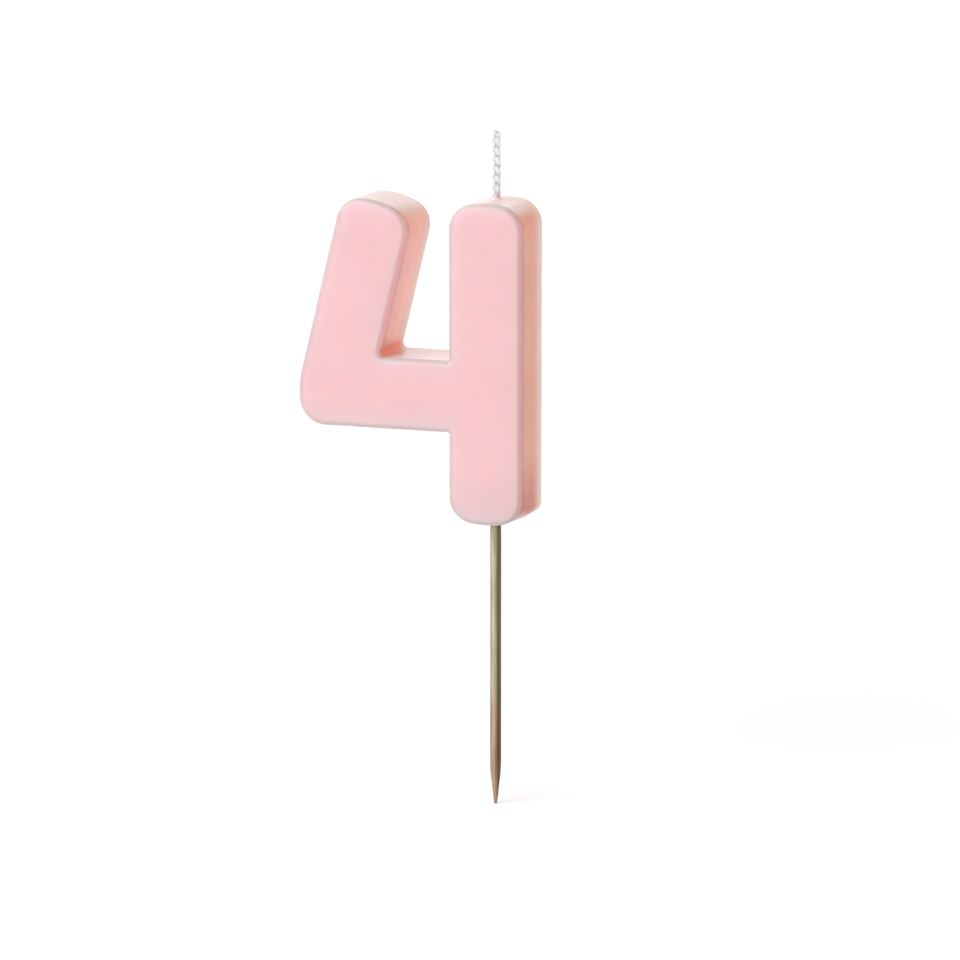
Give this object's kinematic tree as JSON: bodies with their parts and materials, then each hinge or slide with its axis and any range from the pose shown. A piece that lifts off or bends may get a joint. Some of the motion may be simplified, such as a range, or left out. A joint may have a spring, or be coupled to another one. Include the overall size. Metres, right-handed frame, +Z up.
{
  "type": "number birthday candle",
  "caption": "Wax numeral four birthday candle with a plaited cotton wick, standing on a pointed wooden pick that pushes into a cake.",
  "frame": {"origin": "on the pick's axis where the pick enters the wax, at the lowest point of the stem and mid-way through the thickness", "axes": "+Z up along the pick and the wick, +X from the slanted arm towards the upright stem, the numeral's face towards -Y"},
  "size_m": [0.0418, 0.013, 0.1221],
  "materials": {
    "pink_wax": "cast paraffin wax, pale pink, translucent, soft satin sheen",
    "pick_wood": "bare turned birch, fine straight grain",
    "wick_cotton": "undyed plaited cotton, waxed"
  },
  "bodies": {
    "root": {"wax_numeral": "pink_wax", "wooden_pick": "pick_wood", "wick_strand_1": "wick_cotton", "wick_strand_2": "wick_cotton", "wick_strand_3": "wick_cotton"}
  },
  "joints": []
}
